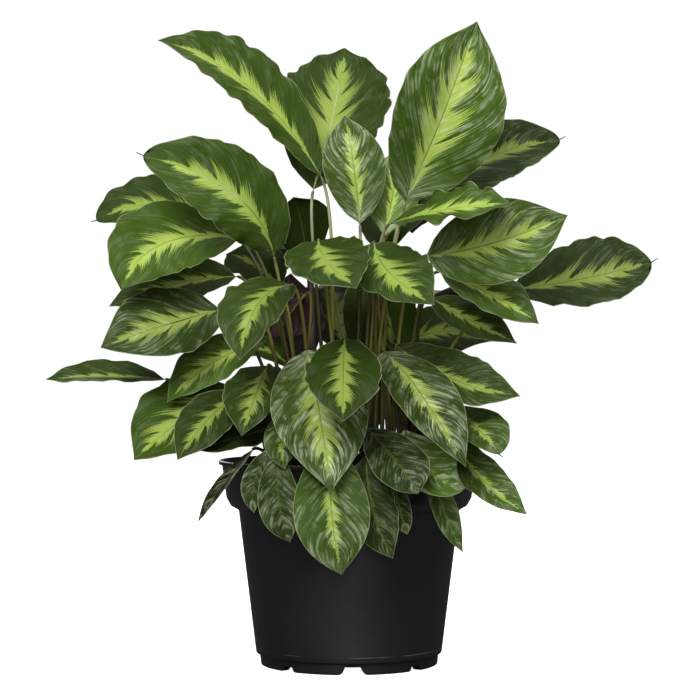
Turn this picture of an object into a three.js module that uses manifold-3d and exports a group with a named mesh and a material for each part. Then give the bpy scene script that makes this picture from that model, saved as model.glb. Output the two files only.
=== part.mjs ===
// A potted calathea: a black nursery pot, its soil and 58 leaves, each leaf with its own stalk.
// Millimetres, +Z up. The origin is on the pot's axis at the level that the pot stands on.
// -Y is the front, +X the right-hand side seen from there.
import * as THREE from "three";
import { mergeVertices } from "three/addons/utils/BufferGeometryUtils.js";
import Module from "manifold-3d";

const wasm = await Module();
wasm.setup();

const TOUCH_GAP = 0.3; // left between pieces that touch

// The pot: a tapered wall with a wider band and a lip at the top and a notched foot ring.
const POT_HEIGHT = 148;
const LIP_RADIUS = 95;
const LIP_DEPTH = 2.5;
const BAND_TOP_RADIUS = 92.6;
const BAND_BOTTOM_RADIUS = 89.4;
const BAND_BOTTOM = 121; // where the band rounds in to the wall
const SHOULDER_RADIUS = 86;
const SHOULDER = 115;
const WALL_TOP = 112;
const WALL_TOP_RADIUS = 80.4;
const WALL_BOTTOM = 14;
const WALL_BOTTOM_RADIUS = 68.3;
const FOOT_TOP = 8;
const FOOT_RADIUS = 65;
const FOOT_INNER_RADIUS = 57;
const FOOT_CHAMFER = 1.5;
const FLOOR_UNDERSIDE = 6;
const PLASTIC = 1.8; // thickness of the pot's wall and floor
const POT_SIDES = 48;

// Notches let water out from under the pot: every second one is wide and deep.
const NOTCHES = 8;
const FIRST_NOTCH_ANGLE = -87.5; // degrees from +X, so one is at the front, a little to the right
const WIDE_NOTCH = { foot: 22, top: 12, height: 5.7 };
const NARROW_NOTCH = { foot: 13, top: 9, height: 3.5 };
const DRAIN_HOLES = 8;
const DRAIN_RADIUS = 4.5;
const DRAIN_CIRCLE = 46;
const DRAIN_SIDES = 12;
const CUT_EXTRA = 4; // a notch or a hole is cut this much longer at each end than the plastic

const SOIL_TOP = 133; // 15 below the lip
const SOIL_SIDES = 32;

// A leaf: a stalk that rises from the soil and one blade, folded a little along its midrib.
const STALK_RADIUS = 1.7; // at the soil
const STALK_TAPER = 0.35; // share of the radius lost at the blade
const STALK_RISE = 0.45; // share of its reach over which a stalk leans up out of the soil
const STALK_LEAD = 4; // it follows the midrib's line for this far before the blade,
const STALK_LEAD_SHARE = 0.1; // and for this share of its reach more
const STALK_STEPS = 7;
const BLADE_STEPS = 9;
const BLADE_FOLD = 16; // degrees that each half rises from flat
const BLADE_EDGE = 0.8; // thickness at the margin
const RIB_THICKNESS = 1.8; // thickness along the midrib at the blade's base
const TIP_HALF_WIDTH = 0.5;
const WIDEST_SHIFT = 1.09; // over 1 moves the widest place towards the base
const BLADE_FULLNESS = 0.72; // under 1 makes a blunter oval

// Leaves that differ from the rest: one stalk in a thick sheath, one blade folded half shut.
const SHEATHED = { stalkRadius: 3.6 };
const FOLDED = { fold: 30 };

// One row for each leaf: the point where its stalk leaves the soil (x, y); the base, middle and
// tip of its midrib (x, y, z); the blade's width; and the way that its upper side faces, as a
// turn from the front and a lift above the horizon, both in degrees.
const LEAVES = {
  top: [
    [[-13, 3], [-21, 5, 356], [-74, -5, 420], [-138, -15, 452], 60, 0, 42, FOLDED],
    [[-16, 12], [-26, 8, 346], [-12, 46, 405], [-3, 100, 462], 86, 0, 38],
    [[5, -2], [8, -8, 320], [4, 6, 359], [-3, 26, 402], 48, 0, 35],
    [[17, -7], [41, -15, 335], [66, -25, 394], [92, -25, 464], 92, 30, 5],
    [[24, 6], [45, 12, 333], [98, 30, 368], [158, 45, 386], 64, 0, 40],
    [[12, 8], [26, 5, 312], [33, 18, 346], [37, 35, 377], 44, 0, 30],
    [[-26, 2], [-30, 40, 291], [-36, 34, 325], [-41, 24, 341], 46, 0, -20, SHEATHED],
  ],
  left: [
    [[-33, -14], [-54, -25, 296], [-82, -48, 339], [-145, -55, 365], 62, -5, 25],
    [[-36, 6], [-80, 0, 308], [-134, -5, 333], [-183, -10, 322], 50, 0, 40],
    [[-37, -4], [-79, -15, 309], [-133, -36, 304], [-161, -50, 270], 66, 0, 30],
    [[-45, 8], [-83, 8, 282], [-125, 2, 276], [-174, -8, 260], 50, 0, 45],
    [[-46, -10], [-92, -20, 257], [-130, -40, 246], [-175, -55, 230], 66, 0, 36],
    [[-52, 2], [-134, -10, 207], [-177, -12, 209], [-219, -15, 207], 44, 0, 68],
    [[-48, -18], [-62, -20, 233], [-97, -26, 219], [-129, -45, 191], 40, 0, 40],
    [[-58, -12], [-83, -15, 201], [-117, -40, 180], [-151, -60, 151], 70, -20, 28],
    [[-54, -25], [-77, -45, 198], [-99, -65, 179], [-119, -80, 152], 38, 0, 40],
    [[-38, 11], [-50, 9, 272], [-70, 26, 292], [-92, 44, 300], 44, 0, 45],
    [[-42, 20], [-42, 19, 214], [-62, 20, 228], [-84, 18, 225], 24, 0, 50],
    [[-37, 17], [-32, 11, 269], [-44, 15, 254], [-54, 19, 235], 38, 180, 30],
  ],
  right: [
    [[20, -18], [30, -25, 319], [71, -58, 327], [114, -70, 330], 48, 0, 52],
    [[32, -14], [55, -30, 295], [103, -45, 304], [154, -55, 323], 62, 0, 5],
    [[44, -16], [118, 2, 272], [175, -2, 281], [220, -5, 292], 62, 0, 35],
    [[40, -8], [66, -22, 284], [101, -32, 268], [135, -40, 247], 42, 0, 45],
    [[48, -5], [60, -8, 266], [86, -19, 250], [120, -32, 233], 36, 0, 45],
    [[30, 20], [32, 18, 228], [68, 18, 241], [107, 8, 235], 52, 0, 40],
    [[38, -23], [33, -30, 232], [73, -46, 208], [120, -60, 196], 46, 0, 40],
    [[48, -10], [52, -16, 212], [72, -20, 201], [91, -25, 189], 26, 0, 40],
    [[52, -18], [70, -22, 186], [90, -55, 173], [104, -80, 156], 40, 15, 30],
    [[54, -24], [62, -30, 178], [92, -64, 138], [123, -85, 115], 36, 10, 50],
    [[33, 1], [28, 2, 280], [38, -2, 262], [40, -4, 218], 22, 0, 10],
  ],
  front: [
    [[-6, -22], [-22, -22, 307], [-15, -75, 289], [5, -122, 270], 60, -25, 65],
    [[10, -22], [18, -25, 305], [29, -75, 281], [58, -115, 259], 56, -15, 55],
    [[-28, -18], [-42, -30, 275], [-64, -65, 260], [-75, -95, 221], 52, -15, 45],
    [[-4, -42], [-3, -66, 236], [-4, -110, 210], [-4, -145, 181], 54, 0, 57],
    [[-18, -36], [-30, -50, 228], [-21, -80, 188], [-12, -118, 132], 70, 0, 30],
    [[18, -34], [25, -45, 227], [50, -90, 197], [79, -115, 149], 48, 10, 45],
    [[-32, -32], [-58, -35, 217], [-65, -62, 198], [-74, -90, 169], 46, -10, 40],
    [[2, 12], [13, 32, 284], [10, 15, 260], [8, 10, 215], 30, 0, 20],
  ],
  rim: [
    [[8, -52], [12, -72, 174], [34, -108, 150], [47, -118, 131], 40, 0, 35],
    [[26, -44], [39, -58, 172], [55, -88, 145], [80, -92, 133], 46, 5, 45],
    [[2, -62], [12, -93, 156], [16, -104, 120], [30, -108, 86], 34, 0, 10],
    [[16, -58], [26, -91, 156], [34, -99, 122], [40, -102, 102], 16, 0, 10],
    [[46, -50], [57, -76, 151], [65, -83, 119], [79, -82, 88], 20, 20, 20],
    [[-30, -42], [-35, -40, 180], [-75, -58, 168], [-109, -65, 158], 44, 0, 60],
    [[-50, -40], [-68, -62, 158], [-88, -76, 134], [-105, -78, 109], 18, -50, 40],
    [[-42, -46], [-52, -68, 160], [-65, -84, 138], [-65, -92, 116], 18, -10, 20],
    [[-34, -50], [-49, -78, 156], [-48, -99, 124], [-40, -104, 97], 30, 0, 15],
    [[-8, -56], [-13, -85, 162], [-12, -112, 119], [-5, -118, 76], 54, 0, 20],
    [[-24, -46], [-30, -52, 187], [-45, -76, 168], [-44, -91, 146], 28, 0, 20],
  ],
  back: [
    [[15, 30], [24, 38, 300], [35, 75, 330], [50, 125, 320], 62, 0, 75],
    [[-10, 26], [-22, 48, 286], [-50, 85, 300], [-75, 120, 275], 60, 200, 60],
    [[36, 20], [54, 36, 262], [88, 74, 270], [114, 110, 240], 58, 160, 60],
    [[-36, 28], [-39, 38, 212], [-44, 50, 250], [-44, 60, 286], 52, 180, 20],
    [[0, 30], [-2, 42, 226], [-10, 92, 258], [-14, 148, 282], 66, 0, 60],
    [[30, 36], [32, 42, 208], [32, 48, 246], [29, 58, 286], 36, 0, 15],
    [[-30, 38], [-40, 45, 190], [-75, 85, 180], [-95, 125, 150], 54, 200, 50],
    [[4, 45], [6, 54, 160], [14, 92, 196], [18, 132, 218], 58, 0, 52],
    [[36, 46], [49, 58, 205], [55, 72, 180], [57, 80, 146], 42, 180, 25],
  ],
};

// A closed solid from any closed three.js geometry.
function solidFrom(geometry) {
  const bare = new THREE.BufferGeometry();
  bare.setAttribute("position", geometry.getAttribute("position").clone());
  if (geometry.index) bare.setIndex(geometry.index.clone());
  const merged = mergeVertices(bare, 1e-3);
  return new wasm.Manifold(
    new wasm.Mesh({
      numProp: 3,
      vertProperties: new Float32Array(merged.getAttribute("position").array),
      triVerts: new Uint32Array(merged.index.array),
    }),
  );
}

function geometryFrom(solid) {
  const { vertProperties, triVerts } = solid.getMesh();
  const geometry = new THREE.BufferGeometry();
  geometry.setAttribute("position", new THREE.BufferAttribute(vertProperties, 3));
  geometry.setIndex(new THREE.BufferAttribute(triVerts, 1));
  geometry.computeVertexNormals();
  return geometry;
}

// A solid of revolution about Z from [radius, height] points that start and end on the axis.
function turned(points, sides) {
  const profile = points.map(([radius, height]) => new THREE.Vector2(radius, height));
  return new THREE.LatheGeometry(profile, sides).rotateX(Math.PI / 2);
}

// A tapered slot through the foot ring, pointing out from the axis at the given angle.
function notch({ foot, top, height }, angle) {
  const outline = new THREE.Shape();
  outline.moveTo(-foot / 2, -1);
  outline.lineTo(foot / 2, -1);
  outline.lineTo(foot / 2, 0);
  outline.lineTo(top / 2, height);
  outline.lineTo(-top / 2, height);
  outline.lineTo(-foot / 2, 0);
  outline.closePath();
  const length = FOOT_RADIUS - FOOT_INNER_RADIUS + 2 * CUT_EXTRA;
  return new THREE.ExtrudeGeometry(outline, { depth: length, bevelEnabled: false })
    .translate(0, 0, FOOT_INNER_RADIUS - CUT_EXTRA)
    .rotateX(Math.PI / 2)
    .rotateZ(Math.PI / 2 + angle);
}

function drainHole(angle) {
  const length = PLASTIC + 2 * CUT_EXTRA;
  const middle = FLOOR_UNDERSIDE + PLASTIC / 2;
  return new THREE.CylinderGeometry(DRAIN_RADIUS, DRAIN_RADIUS, length, DRAIN_SIDES)
    .rotateX(Math.PI / 2)
    .translate(DRAIN_CIRCLE * Math.cos(angle), DRAIN_CIRCLE * Math.sin(angle), middle);
}

function potGeometry() {
  const floorTop = FLOOR_UNDERSIDE + PLASTIC;
  const body = turned(
    [
      [0, FLOOR_UNDERSIDE],
      [FOOT_INNER_RADIUS, FLOOR_UNDERSIDE],
      [FOOT_INNER_RADIUS, 0],
      [FOOT_RADIUS - FOOT_CHAMFER, 0],
      [FOOT_RADIUS, FOOT_CHAMFER],
      [FOOT_RADIUS, FOOT_TOP],
      [WALL_BOTTOM_RADIUS, WALL_BOTTOM],
      [WALL_TOP_RADIUS, WALL_TOP],
      [SHOULDER_RADIUS, SHOULDER],
      [BAND_BOTTOM_RADIUS, BAND_BOTTOM],
      [BAND_TOP_RADIUS, POT_HEIGHT - LIP_DEPTH],
      [LIP_RADIUS, POT_HEIGHT - LIP_DEPTH],
      [LIP_RADIUS, POT_HEIGHT],
      [BAND_TOP_RADIUS - PLASTIC, POT_HEIGHT],
      [BAND_BOTTOM_RADIUS - PLASTIC, BAND_BOTTOM + PLASTIC],
      [WALL_TOP_RADIUS - PLASTIC, WALL_TOP + PLASTIC],
      [WALL_BOTTOM_RADIUS - PLASTIC, WALL_BOTTOM],
      [FOOT_RADIUS - PLASTIC, floorTop],
      [0, floorTop],
    ],
    POT_SIDES,
  );
  let solid = solidFrom(body);
  for (let i = 0; i < NOTCHES; i++) {
    const angle = THREE.MathUtils.degToRad(FIRST_NOTCH_ANGLE + (i * 360) / NOTCHES);
    solid = solid.subtract(solidFrom(notch(i % 2 ? NARROW_NOTCH : WIDE_NOTCH, angle)));
  }
  for (let i = 0; i < DRAIN_HOLES; i++) {
    solid = solid.subtract(solidFrom(drainHole(((i + 0.5) * 2 * Math.PI) / DRAIN_HOLES)));
  }
  return geometryFrom(solid);
}

// The soil fills the pot, clear of the plastic by the touch gap, to a watering space below the lip.
function soilGeometry() {
  const clear = PLASTIC + TOUCH_GAP;
  const floor = FLOOR_UNDERSIDE + clear;
  const lean = (BAND_TOP_RADIUS - BAND_BOTTOM_RADIUS) / (POT_HEIGHT - LIP_DEPTH - BAND_BOTTOM);
  const topRadius = BAND_BOTTOM_RADIUS - clear + lean * (SOIL_TOP - BAND_BOTTOM - PLASTIC);
  return turned(
    [
      [0, floor],
      [FOOT_RADIUS - clear, floor],
      [WALL_BOTTOM_RADIUS - clear, WALL_BOTTOM],
      [WALL_TOP_RADIUS - clear, WALL_TOP + clear],
      [BAND_BOTTOM_RADIUS - clear, BAND_BOTTOM + clear],
      [topRadius, SOIL_TOP],
      [0, SOIL_TOP],
    ],
    SOIL_SIDES,
  );
}

function facingVector(turn, lift) {
  const around = THREE.MathUtils.degToRad(turn);
  const above = THREE.MathUtils.degToRad(lift);
  return new THREE.Vector3(
    Math.sin(around) * Math.cos(above),
    -Math.cos(around) * Math.cos(above),
    Math.sin(above),
  );
}

// The curve through base, middle and tip, and the stalk that runs into its start.
function leafCurves(root, base, middle, tip) {
  const bend = middle.clone().multiplyScalar(2);
  bend.addScaledVector(base, -0.5).addScaledVector(tip, -0.5);
  const midrib = new THREE.QuadraticBezierCurve3(base, bend, tip);
  const reach = root.distanceTo(base);
  const rising = root.clone();
  rising.z += STALK_RISE * reach;
  const lead = STALK_LEAD + STALK_LEAD_SHARE * reach;
  const arriving = base.clone().addScaledVector(midrib.getTangent(0), -lead);
  return { midrib, stalk: new THREE.CubicBezierCurve3(root, rising, arriving, base) };
}

// Where a corner of the stalk's six-sided section lies: how far sideways, and how far up.
// across is -1, 0 or 1 from one side to the other; level is 1 on top and -1 underneath.
function stalkCorner(radius, share, across, level) {
  const here = radius * (1 - STALK_TAPER * share);
  return [across * here * Math.sin(Math.PI / 3), level * here * (across ? 0.5 : 1)];
}

// The same for the blade: both halves rise from the midrib and thin out to the margin.
function bladeCorner(width, foldDegrees, share, across, level) {
  const fold = THREE.MathUtils.degToRad(foldDegrees);
  const outline = Math.sin(Math.PI * share ** WIDEST_SHIFT) ** BLADE_FULLNESS;
  const half = Math.max(TIP_HALF_WIDTH, (width / 2) * outline);
  const rib = BLADE_EDGE + (RIB_THICKNESS - BLADE_EDGE) * (1 - share);
  const thickness = across ? BLADE_EDGE : rib;
  const up = Math.abs(across) * half * Math.sin(fold) + (level * thickness) / 2;
  return [across * half * Math.cos(fold), up];
}

// A box, two strips wide, whose length follows the stalk and then the midrib.
function leafGeometry([rootXY, baseXYZ, middleXYZ, tipXYZ, width, turn, lift, unusual = {}]) {
  const { stalkRadius = STALK_RADIUS, fold = BLADE_FOLD } = unusual;
  const root = new THREE.Vector3(...rootXY, SOIL_TOP + TOUCH_GAP);
  const [base, middle, tip] = [baseXYZ, middleXYZ, tipXYZ].map((at) => new THREE.Vector3(...at));
  const { midrib, stalk } = leafCurves(root, base, middle, tip);
  const facing = facingVector(turn, lift);
  const steps = STALK_STEPS + BLADE_STEPS;
  const geometry = new THREE.BoxGeometry(1, 1, 1, steps, 2, 1);
  const position = geometry.getAttribute("position");
  for (let i = 0; i < position.count; i++) {
    const step = Math.round((position.getX(i) + 0.5) * steps) - STALK_STEPS;
    const across = Math.round(position.getY(i) * 2);
    const level = Math.sign(position.getZ(i));
    const inBlade = step > 0;
    const share = inBlade ? step / BLADE_STEPS : 1 + step / STALK_STEPS;
    const curve = inBlade ? midrib : stalk;
    const [sideways, up] = inBlade
      ? bladeCorner(width, fold, share, across, level)
      : stalkCorner(stalkRadius, share, across, level);
    const along = curve.getTangent(share);
    const side = facing.clone().cross(inBlade ? along : midrib.getTangent(0));
    side.addScaledVector(along, -side.dot(along)).normalize();
    const normal = along.clone().cross(side);
    const point = curve.getPoint(share).addScaledVector(side, sideways);
    point.addScaledVector(normal, up);
    position.setXYZ(i, point.x, point.y, point.z);
  }
  geometry.deleteAttribute("uv");
  geometry.deleteAttribute("normal");
  const closed = mergeVertices(geometry, 1e-3);
  closed.computeVertexNormals();
  return closed;
}

function piece(name, geometry, color, roughness) {
  const material = new THREE.MeshStandardMaterial({ color, roughness, metalness: 0 });
  const mesh = new THREE.Mesh(geometry, material);
  mesh.name = name;
  return mesh;
}

const PLASTIC_ROUGHNESS = 0.5;
const PLASTIC_BLACK = 0x202122;
const SOIL_ROUGHNESS = 0.95;
const SOIL_BROWN = 0x2b211a;
const LEAF_ROUGHNESS = 0.45;
const LEAF_GREENS = {
  top: 0x4f7331,
  left: 0x4b6c2e,
  right: 0x466629,
  front: 0x527536,
  rim: 0x425c36,
  back: 0x3f5a2a,
};

const pottedCalathea = new THREE.Group();
pottedCalathea.add(piece("pot", potGeometry(), PLASTIC_BLACK, PLASTIC_ROUGHNESS));
pottedCalathea.add(piece("soil", soilGeometry(), SOIL_BROWN, SOIL_ROUGHNESS));
for (const [zone, rows] of Object.entries(LEAVES)) {
  rows.forEach((row, i) => {
    const name = `leaf_${zone}_${i + 1}`;
    pottedCalathea.add(piece(name, leafGeometry(row), LEAF_GREENS[zone], LEAF_ROUGHNESS));
  });
}

export default pottedCalathea;
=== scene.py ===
"""Looks of the potted calathea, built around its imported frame.

Metres, in the frame's own axes: +Z is up and -Y is the front. The leaf table and the other
constants are in millimetres, but for those that say metres and for the studio's.
"""

import math
import random

import bmesh
import bpy
from mathutils import Matrix, Vector, noise


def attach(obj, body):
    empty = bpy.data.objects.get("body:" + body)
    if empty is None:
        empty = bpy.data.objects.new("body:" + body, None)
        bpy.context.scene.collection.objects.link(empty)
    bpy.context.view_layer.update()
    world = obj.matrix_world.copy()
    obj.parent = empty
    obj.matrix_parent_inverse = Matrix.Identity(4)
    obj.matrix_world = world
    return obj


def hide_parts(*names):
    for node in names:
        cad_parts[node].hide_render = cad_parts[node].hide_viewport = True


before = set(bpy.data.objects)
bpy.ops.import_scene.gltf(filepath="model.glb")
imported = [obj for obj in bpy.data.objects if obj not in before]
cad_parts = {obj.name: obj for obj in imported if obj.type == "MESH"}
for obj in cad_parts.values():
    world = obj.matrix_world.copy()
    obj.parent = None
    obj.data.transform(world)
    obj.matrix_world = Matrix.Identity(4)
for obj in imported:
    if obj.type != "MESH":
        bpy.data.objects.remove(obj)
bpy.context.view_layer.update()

bl_info = {
    "name": "Potted calathea",
    "version": (1, 0, 0),
    "blender": (4, 5, 0),
    "location": "View3D > Sidebar > Calathea",
    "description": "Builds the leaves, pot, soil and studio of a potted calathea",
    "category": "Object",
}

MM = 0.001

# ---------------------------------------------------------------- the leaves' places and looks

SOIL_ROOT = 133.3  # a stalk leaves the soil at this height
STALK_RISE = 0.45  # a stalk first aims straight up, over this share of the way to its blade
STALK_LEAD = 4.0  # and comes to the blade in line with the midrib, over this length
STALK_LEAD_SHARE = 0.1  # and this share of the way
WIDEST_SHIFT = 1.09  # over 1, so that a blade is widest past its middle
BASE_FULLNESS = 0.58  # how full a blade's outline is near its base,
TIP_TAPER = 0.46  # and how much more it narrows to its tip
FOLD = 16.0  # degrees that each half of a blade rises from flat
STEEP_FOLD = 30.0
SLIM = "slim"
SHEATHED = "sheathed"  # a stalk in its brown sheath
FOLDED = "folded"
BLUNT = "blunt"  # a rounded tip with a dry thread on it
FRILLED = "frilled"  # a strongly waved margin

# Each leaf: where its stalk leaves the soil, the blade's base, middle and tip, its width,
# the turn and lift of its upper face in degrees, how it grew, and then its looks.
# These are how far its lime feathers reach towards the margin, a tone that multiplies its dark
# green and, more weakly, its lime, and a shine. The tone is partly the leaf's own and partly
# painted light and shade, higher on lit leaves and lower on shaded ones. The shine is how strongly
# painted sheen shows in strokes along its veins, and a shiny blade also has deeper veins and a calmer
# margin.
LEAVES = {
    "top": (
        ((-13, 3), (-21, 5, 356), (-74, -5, 420), (-138, -15, 452), 60, 0, 42, FOLDED, 0.46, 0.84, 0.35),
        ((-16, 12), (-26, 8, 346), (-12, 46, 405), (-3, 100, 462), 86, 0, 38, SLIM, 0.54, 0.52, 0.2),
        ((5, -2), (8, -8, 320), (4, 6, 359), (-3, 26, 402), 48, 0, 35, SLIM, 0.44, 0.9, 1.0),
        ((17, -7), (41, -15, 335), (66, -25, 394), (92, -25, 464), 92, 30, 5, SLIM, 0.56, 1.5, 1.0),
        ((24, 6), (45, 12, 333), (98, 30, 368), (158, 45, 386), 64, 0, 40, BLUNT, 0.4, 0.32, 0.3),
        ((12, 8), (26, 5, 312), (33, 18, 346), (37, 35, 377), 44, 0, 30, SLIM, 0.3, 2.8, 1.2),
        ((-26, 2), (-30, 40, 291), (-36, 34, 325), (-41, 24, 341), 46, 0, -20, SHEATHED, 0.05, 0.4, 0.1),
    ),
    "left": (
        ((-33, -14), (-54, -25, 296), (-82, -48, 339), (-145, -55, 365), 62, -5, 25, BLUNT, 0.42, 0.88, 0.35),
        ((-36, 6), (-80, 0, 308), (-134, -5, 333), (-183, -10, 322), 50, 0, 40, BLUNT, 0.5, 0.55, 0.2),
        ((-37, -4), (-79, -15, 309), (-133, -36, 304), (-161, -50, 270), 66, 0, 30, SLIM, 0.42, 1.25, 0.4),
        ((-45, 8), (-83, 8, 282), (-125, 2, 276), (-174, -8, 260), 50, 0, 45, SLIM, 0.36, 0.67, 0.3),
        ((-46, -10), (-92, -20, 257), (-130, -40, 246), (-175, -55, 230), 66, 0, 36, SLIM, 0.5, 0.54, 0.62),
        ((-52, 2), (-134, -10, 207), (-177, -12, 209), (-219, -15, 207), 44, 0, 68, SLIM, 0.34, 0.62, 0.4),
        ((-48, -18), (-62, -20, 233), (-97, -26, 219), (-129, -45, 191), 40, 0, 40, SLIM, 0.55, 1.45, 0.5),
        ((-58, -12), (-83, -15, 201), (-117, -40, 180), (-151, -60, 151), 70, -20, 28, SLIM, 0.5, 0.96, 0.3),
        ((-54, -25), (-77, -45, 198), (-99, -65, 179), (-119, -80, 152), 38, 0, 40, SLIM, 0.46, 0.52, 0.3),
        ((-38, 11), (-50, 9, 272), (-70, 26, 292), (-92, 44, 300), 44, 0, 45, SLIM, 0.2, 0.34, 0.1),
        ((-42, 20), (-42, 19, 214), (-62, 20, 228), (-84, 18, 225), 24, 0, 50, SLIM, 0.3, 0.9, 0.2),
        ((-37, 17), (-32, 11, 269), (-44, 15, 254), (-54, 19, 235), 38, 180, 30, SLIM, 0.1, 0.42, 0.1),
    ),
    "right": (
        ((20, -18), (30, -25, 319), (71, -58, 327), (114, -70, 330), 48, 0, 52, FRILLED, 0.48, 0.95, 0.4),
        ((32, -14), (55, -30, 295), (103, -45, 304), (154, -55, 323), 62, 0, 5, SLIM, 0.5, 1.2, 0.85),
        ((44, -16), (118, 2, 272), (175, -2, 281), (220, -5, 292), 62, 0, 35, BLUNT, 0.5, 0.36, 0.3),
        ((40, -8), (66, -22, 284), (101, -32, 268), (135, -40, 247), 42, 0, 45, SLIM, 0.38, 0.98, 0.45),
        ((48, -5), (60, -8, 266), (86, -19, 250), (120, -32, 233), 36, 0, 45, SLIM, 0.36, 0.64, 0.3),
        ((30, 20), (32, 18, 228), (68, 18, 241), (107, 8, 235), 52, 0, 40, SLIM, 0.4, 0.36, 0.2),
        ((38, -23), (33, -30, 232), (73, -46, 208), (120, -60, 196), 46, 0, 40, SLIM, 0.4, 0.62, 0.4),
        ((48, -10), (52, -16, 212), (72, -20, 201), (91, -25, 189), 26, 0, 40, SLIM, 0.1, 0.6, 0.2),
        ((52, -18), (70, -22, 186), (90, -55, 173), (104, -80, 156), 40, 15, 30, BLUNT, 0.24, 0.9, 0.6),
        ((54, -24), (62, -30, 178), (92, -64, 138), (123, -85, 115), 36, 10, 50, SLIM, 0.26, 1.0, 0.75),
        ((33, 1), (28, 2, 280), (38, -2, 262), (40, -4, 218), 22, 0, 10, SLIM, 0.0, 1.0, 0.1),
    ),
    "front": (
        ((-6, -22), (-22, -22, 307), (-15, -75, 289), (5, -122, 270), 60, -25, 65, SLIM, 0.52, 0.56, 0.2),
        ((10, -22), (18, -25, 305), (29, -75, 281), (58, -115, 259), 56, -15, 55, SLIM, 0.54, 0.62, 0.25),
        ((-28, -18), (-42, -30, 275), (-64, -65, 260), (-75, -95, 221), 52, -15, 45, SLIM, 0.46, 0.62, 0.3),
        ((-4, -42), (-3, -66, 236), (-4, -110, 210), (-4, -145, 181), 54, 0, 57, SLIM, 0.54, 0.48, 0.2),
        ((-18, -36), (-30, -50, 228), (-21, -80, 188), (-12, -118, 132), 70, 0, 30, SLIM, 0.5, 0.82, 1.15),
        ((18, -34), (25, -45, 227), (50, -90, 197), (79, -115, 149), 48, 10, 45, SLIM, 0.46, 0.5, 0.88),
        ((-32, -32), (-58, -35, 217), (-65, -62, 198), (-74, -90, 169), 46, -10, 40, SLIM, 0.48, 0.55, 0.35),
        ((2, 12), (13, 32, 284), (10, 15, 260), (8, 10, 215), 30, 0, 20, SLIM, 0.0, 0.45, 0.1),
    ),
    "rim": (
        ((8, -52), (12, -72, 174), (34, -108, 150), (47, -118, 131), 40, 0, 35, SLIM, 0.1, 0.34, 0.72),
        ((26, -44), (39, -58, 172), (55, -88, 145), (80, -92, 133), 46, 5, 45, SLIM, 0.12, 1.42, 1.15),
        ((2, -62), (12, -93, 156), (16, -104, 120), (30, -108, 86), 34, 0, 10, SLIM, 0.14, 0.4, 0.45),
        ((16, -58), (26, -91, 156), (34, -99, 122), (40, -102, 102), 16, 0, 10, SLIM, 0.16, 0.42, 0.75),
        ((46, -50), (57, -76, 151), (65, -83, 119), (79, -82, 88), 20, 20, 20, SLIM, 0.14, 1.0, 0.85),
        ((-30, -42), (-35, -40, 180), (-75, -58, 168), (-109, -65, 158), 44, 0, 60, SLIM, 0.1, 0.34, 0.1),
        ((-50, -40), (-68, -62, 158), (-88, -76, 134), (-105, -78, 109), 18, -50, 40, SLIM, 0.14, 0.1, 0.9),
        ((-42, -46), (-52, -68, 160), (-65, -84, 138), (-65, -92, 116), 18, -10, 20, SLIM, 0.1, 0.4, 0.95),
        ((-34, -50), (-49, -78, 156), (-48, -99, 124), (-40, -104, 97), 30, 0, 15, SLIM, 0.08, 0.48, 0.88),
        ((-8, -56), (-13, -85, 162), (-12, -112, 119), (-5, -118, 76), 54, 0, 20, SLIM, 0.24, 0.92, 0.82),
        ((-24, -46), (-30, -52, 187), (-45, -76, 168), (-44, -91, 146), 28, 0, 20, SLIM, 0.32, 0.86, 0.8),
    ),
    "back": (
        ((15, 30), (24, 38, 300), (35, 75, 330), (50, 125, 320), 62, 0, 75, SLIM, 0.4, 0.8, 0.3),
        ((-10, 26), (-22, 48, 286), (-50, 85, 300), (-75, 120, 275), 60, 200, 60, SLIM, 0.42, 0.64, 0.3),
        ((36, 20), (54, 36, 262), (88, 74, 270), (114, 110, 240), 58, 160, 60, SLIM, 0.4, 0.9, 0.3),
        ((-36, 28), (-39, 38, 212), (-44, 50, 250), (-44, 60, 286), 52, 180, 20, SLIM, 0.3, 0.3, 0.1),
        ((0, 30), (-2, 42, 226), (-10, 92, 258), (-14, 148, 282), 66, 0, 60, SLIM, 0.4, 0.15, 0.1),
        ((30, 36), (32, 42, 208), (32, 48, 246), (29, 58, 286), 36, 0, 15, SLIM, 0.3, 0.3, 0.1),
        ((-30, 38), (-40, 45, 190), (-75, 85, 180), (-95, 125, 150), 54, 200, 50, SLIM, 0.4, 0.8, 0.4),
        ((4, 45), (6, 54, 160), (14, 92, 196), (18, 132, 218), 58, 0, 52, SLIM, 0.3, 0.3, 0.1),
        ((36, 46), (49, 58, 205), (55, 72, 180), (57, 80, 146), 42, 180, 25, SLIM, 0.3, 0.5, 0.3),
    ),
}


# ---------------------------------------------------------------- settings


def colour_setting(name, description, red, green, blue):
    """A colour property whose default is given as a display colour, each part from 0 to 255."""
    return bpy.props.FloatVectorProperty(
        name=name,
        description=description,
        subtype="COLOR",
        size=3,
        min=0.0,
        max=1.0,
        default=[linear(part / 255) for part in (red, green, blue)],
    )


def linear(value):
    """A display value from 0 to 1 as a linear one."""
    return value / 12.92 if value <= 0.04045 else ((value + 0.055) / 1.055) ** 2.4


def length_setting(name, description, millimetres):
    return bpy.props.FloatProperty(
        name=name,
        description=description,
        default=millimetres * MM,
        min=0.0,
        unit="LENGTH",
        precision=5,
    )


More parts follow.
